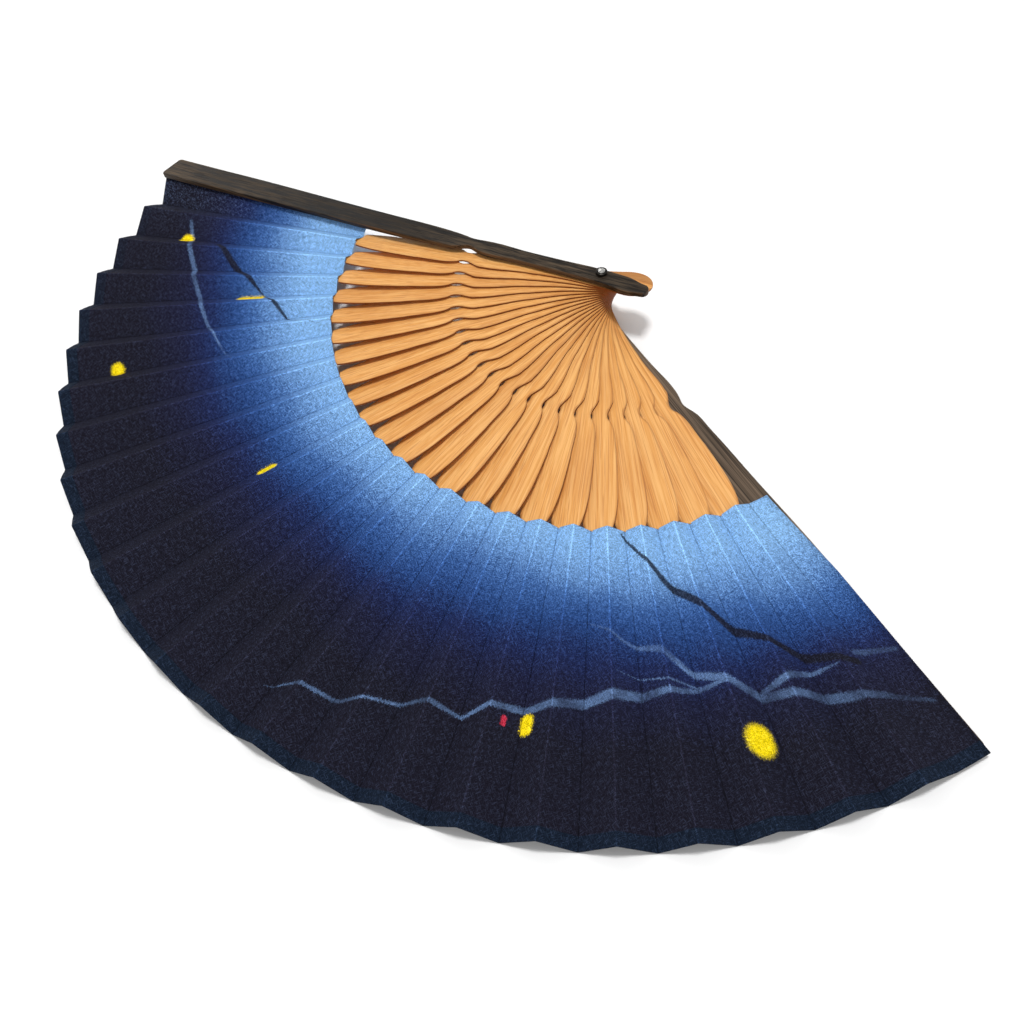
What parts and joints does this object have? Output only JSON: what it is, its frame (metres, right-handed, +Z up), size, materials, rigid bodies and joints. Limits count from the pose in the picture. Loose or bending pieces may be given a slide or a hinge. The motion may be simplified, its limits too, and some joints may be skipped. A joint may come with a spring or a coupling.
{
  "type": "hand fan",
  "caption": "Folding hand fan lying open: flat bamboo ribs and two dark guards turning on one rivet, with a pleated cloth leaf.",
  "frame": {"origin": "pivot axis at the underside of the lower guard, on the table top", "axes": "+Z up along the rivet; -Y down the middle of the open fan; +X towards the lower guard's side"},
  "size_m": [0.3696, 0.2019, 0.0225],
  "materials": {
    "guard": "dark stained, lengthwise grain, satin",
    "bamboo": "warm tan split bamboo, fine lengthwise grain",
    "leaf": "slubbed plain weave, pale blue at the sticks to near-black navy at the rim",
    "rivet": "plain pin",
    "cup": "dark cup under the cap",
    "gem": "small faceted bright cap"
  },
  "bodies": {
    "lower_guard": {"guard_lower": "guard", "leaf_24": "leaf", "rivet_pin": "rivet", "rivet_cup": "cup", "rivet_gem": "gem"},
    "stick_23": {"rib_23": "bamboo", "leaf_23": "leaf"},
    "stick_22": {"rib_22": "bamboo", "leaf_22": "leaf"},
    "stick_21": {"rib_21": "bamboo", "leaf_21": "leaf"},
    "stick_20": {"rib_20": "bamboo", "leaf_20": "leaf"},
    "stick_19": {"rib_19": "bamboo", "leaf_19": "leaf"},
    "stick_18": {"rib_18": "bamboo", "leaf_18": "leaf"},
    "stick_17": {"rib_17": "bamboo", "leaf_17": "leaf"},
    "stick_16": {"rib_16": "bamboo", "leaf_16": "leaf"},
    "stick_15": {"rib_15": "bamboo", "leaf_15": "leaf"},
    "stick_14": {"rib_14": "bamboo", "leaf_14": "leaf"},
    "stick_13": {"rib_13": "bamboo", "leaf_13": "leaf"},
    "stick_12": {"rib_12": "bamboo", "leaf_12": "leaf"},
    "stick_11": {"rib_11": "bamboo", "leaf_11": "leaf"},
    "stick_10": {"rib_10": "bamboo", "leaf_10": "leaf"},
    "stick_09": {"rib_09": "bamboo", "leaf_09": "leaf"},
    "stick_08": {"rib_08": "bamboo", "leaf_08": "leaf"},
    "stick_07": {"rib_07": "bamboo", "leaf_07": "leaf"},
    "stick_06": {"rib_06": "bamboo", "leaf_06": "leaf"},
    "stick_05": {"rib_05": "bamboo", "leaf_05": "leaf"},
    "stick_04": {"rib_04": "bamboo", "leaf_04": "leaf"},
    "stick_03": {"rib_03": "bamboo", "leaf_03": "leaf"},
    "stick_02": {"rib_02": "bamboo", "leaf_02": "leaf"},
    "stick_01": {"rib_01": "bamboo", "leaf_01": "leaf"},
    "upper_guard": {"guard_upper": "guard", "leaf_00": "leaf"}
  },
  "joints": [
    {"name": "unfold_23", "type": "hinge", "parent": "lower_guard", "child": "stick_23", "pos_m": [0, 0, 0.0028], "axis": [-0.0447, -0.1187, 0.9919], "range_deg": [0, 6.08], "deforming": ["leaf_23"]},
    {"name": "unfold_22", "type": "hinge", "parent": "stick_23", "child": "stick_22", "pos_m": [0.00004, 0.00008, 0.00348], "axis": [-0.0153, -0.0304, 0.9994], "range_deg": [0, 6.04], "deforming": ["leaf_22"]},
    {"name": "unfold_21", "type": "hinge", "parent": "stick_22", "child": "stick_21", "pos_m": [0.00006, 0.00009, 0.00417], "axis": [-0.0184, -0.0286, 0.9994], "range_deg": [0, 6.04], "deforming": ["leaf_21"]},
    {"name": "unfold_20", "type": "hinge", "parent": "stick_21", "child": "stick_20", "pos_m": [0.00008, 0.0001, 0.00485], "axis": [-0.0213, -0.0265, 0.9994], "range_deg": [0, 6.04], "deforming": ["leaf_20"]},
    {"name": "unfold_19", "type": "hinge", "parent": "stick_20", "child": "stick_19", "pos_m": [0.00011, 0.00011, 0.00554], "axis": [-0.0239, -0.0241, 0.9994], "range_deg": [0, 6.04], "deforming": ["leaf_19"]},
    {"name": "unfold_18", "type": "hinge", "parent": "stick_19", "child": "stick_18", "pos_m": [0.00014, 0.00011, 0.00622], "axis": [-0.0263, -0.0215, 0.9994], "range_deg": [0, 6.04], "deforming": ["leaf_18"]},
    {"name": "unfold_17", "type": "hinge", "parent": "stick_18", "child": "stick_17", "pos_m": [0.00017, 0.00011, 0.00691], "axis": [-0.0285, -0.0186, 0.9994], "range_deg": [0, 6.04], "deforming": ["leaf_17"]},
    {"name": "unfold_16", "type": "hinge", "parent": "stick_17", "child": "stick_16", "pos_m": [0.0002, 0.0001, 0.0076], "axis": [-0.0303, -0.0155, 0.9994], "range_deg": [0, 6.04], "deforming": ["leaf_16"]},
    {"name": "unfold_15", "type": "hinge", "parent": "stick_16", "child": "stick_15", "pos_m": [0.00023, 0.00009, 0.00828], "axis": [-0.0317, -0.0122, 0.9994], "range_deg": [0, 6.04], "deforming": ["leaf_15"]},
    {"name": "unfold_14", "type": "hinge", "parent": "stick_15", "child": "stick_14", "pos_m": [0.00026, 0.00007, 0.00897], "axis": [-0.0328, -0.0088, 0.9994], "range_deg": [0, 6.04], "deforming": ["leaf_14"]},
    {"name": "unfold_13", "type": "hinge", "parent": "stick_14", "child": "stick_13", "pos_m": [0.00029, 0.00005, 0.00965], "axis": [-0.0336, -0.0053, 0.9994], "range_deg": [0, 6.04], "deforming": ["leaf_13"]},
    {"name": "unfold_12", "type": "hinge", "parent": "stick_13", "child": "stick_12", "pos_m": [0.00032, 0.00002, 0.01034], "axis": [-0.034, -0.0018, 0.9994], "range_deg": [0, 6.04], "deforming": ["leaf_12"]},
    {"name": "unfold_11", "type": "hinge", "parent": "stick_12", "child": "stick_11", "pos_m": [0.00034, -0.00002, 0.01102], "axis": [-0.034, 0.0018, 0.9994], "range_deg": [0, 6.04], "deforming": ["leaf_11"]},
    {"name": "unfold_10", "type": "hinge", "parent": "stick_11", "child": "stick_10", "pos_m": [0.00036, -0.00006, 0.01171], "axis": [-0.0336, 0.0053, 0.9994], "range_deg": [0, 6.04], "deforming": ["leaf_10"]},
    {"name": "unfold_09", "type": "hinge", "parent": "stick_10", "child": "stick_09", "pos_m": [0.00038, -0.0001, 0.01239], "axis": [-0.0329, 0.0088, 0.9994], "range_deg": [0, 6.04], "deforming": ["leaf_09"]},
    {"name": "unfold_08", "type": "hinge", "parent": "stick_09", "child": "stick_08", "pos_m": [0.00039, -0.00015, 0.01307], "axis": [-0.0317, 0.0123, 0.9994], "range_deg": [0, 6.04], "deforming": ["leaf_08"]},
    {"name": "unfold_07", "type": "hinge", "parent": "stick_08", "child": "stick_07", "pos_m": [0.00039, -0.0002, 0.01376], "axis": [-0.0303, 0.0155, 0.9994], "range_deg": [0, 6.04], "deforming": ["leaf_07"]},
    {"name": "unfold_06", "type": "hinge", "parent": "stick_07", "child": "stick_06", "pos_m": [0.00038, -0.00025, 0.01444], "axis": [-0.0285, 0.0186, 0.9994], "range_deg": [0, 6.04], "deforming": ["leaf_06"]},
    {"name": "unfold_05", "type": "hinge", "parent": "stick_06", "child": "stick_05", "pos_m": [0.00037, -0.00031, 0.01513], "axis": [-0.0264, 0.0215, 0.9994], "range_deg": [0, 6.04], "deforming": ["leaf_05"]},
    {"name": "unfold_04", "type": "hinge", "parent": "stick_05", "child": "stick_04", "pos_m": [0.00036, -0.00036, 0.01581], "axis": [-0.024, 0.0242, 0.9994], "range_deg": [0, 6.04], "deforming": ["leaf_04"]},
    {"name": "unfold_03", "type": "hinge", "parent": "stick_04", "child": "stick_03", "pos_m": [0.00033, -0.00041, 0.0165], "axis": [-0.0213, 0.0266, 0.9994], "range_deg": [0, 6.04], "deforming": ["leaf_03"]},
    {"name": "unfold_02", "type": "hinge", "parent": "stick_03", "child": "stick_02", "pos_m": [0.0003, -0.00047, 0.01718], "axis": [-0.0184, 0.0287, 0.9994], "range_deg": [0, 6.04], "deforming": ["leaf_02"]},
    {"name": "unfold_01", "type": "hinge", "parent": "stick_02", "child": "stick_01", "pos_m": [0.00026, -0.00052, 0.01787], "axis": [-0.0153, 0.0305, 0.9994], "range_deg": [0, 6.04], "deforming": ["leaf_01"]},
    {"name": "unfold_upper_guard", "type": "hinge", "parent": "stick_01", "child": "upper_guard", "pos_m": [0.0005, -0.00134, 0.0195], "axis": [-0.0017, 0.0044, 1], "range_deg": [0, 6.04], "deforming": ["leaf_00"]}
  ],
  "couplings": [
    {"joint": "unfold_22", "follows": "unfold_23", "ratio": 0.99251},
    {"joint": "unfold_21", "follows": "unfold_23", "ratio": 0.99251},
    {"joint": "unfold_20", "follows": "unfold_23", "ratio": 0.99251},
    {"joint": "unfold_19", "follows": "unfold_23", "ratio": 0.99251},
    {"joint": "unfold_18", "follows": "unfold_23", "ratio": 0.99251},
    {"joint": "unfold_17", "follows": "unfold_23", "ratio": 0.99251},
    {"joint": "unfold_16", "follows": "unfold_23", "ratio": 0.99251},
    {"joint": "unfold_15", "follows": "unfold_23", "ratio": 0.99251},
    {"joint": "unfold_14", "follows": "unfold_23", "ratio": 0.99251},
    {"joint": "unfold_13", "follows": "unfold_23", "ratio": 0.99251},
    {"joint": "unfold_12", "follows": "unfold_23", "ratio": 0.99251},
    {"joint": "unfold_11", "follows": "unfold_23", "ratio": 0.99251},
    {"joint": "unfold_10", "follows": "unfold_23", "ratio": 0.99251},
    {"joint": "unfold_09", "follows": "unfold_23", "ratio": 0.99251},
    {"joint": "unfold_08", "follows": "unfold_23", "ratio": 0.99251},
    {"joint": "unfold_07", "follows": "unfold_23", "ratio": 0.99251},
    {"joint": "unfold_06", "follows": "unfold_23", "ratio": 0.99251},
    {"joint": "unfold_05", "follows": "unfold_23", "ratio": 0.99251},
    {"joint": "unfold_04", "follows": "unfold_23", "ratio": 0.99251},
    {"joint": "unfold_03", "follows": "unfold_23", "ratio": 0.99251},
    {"joint": "unfold_02", "follows": "unfold_23", "ratio": 0.99251},
    {"joint": "unfold_01", "follows": "unfold_23", "ratio": 0.99251},
    {"joint": "unfold_upper_guard", "follows": "unfold_23", "ratio": 0.99195}
  ]
}
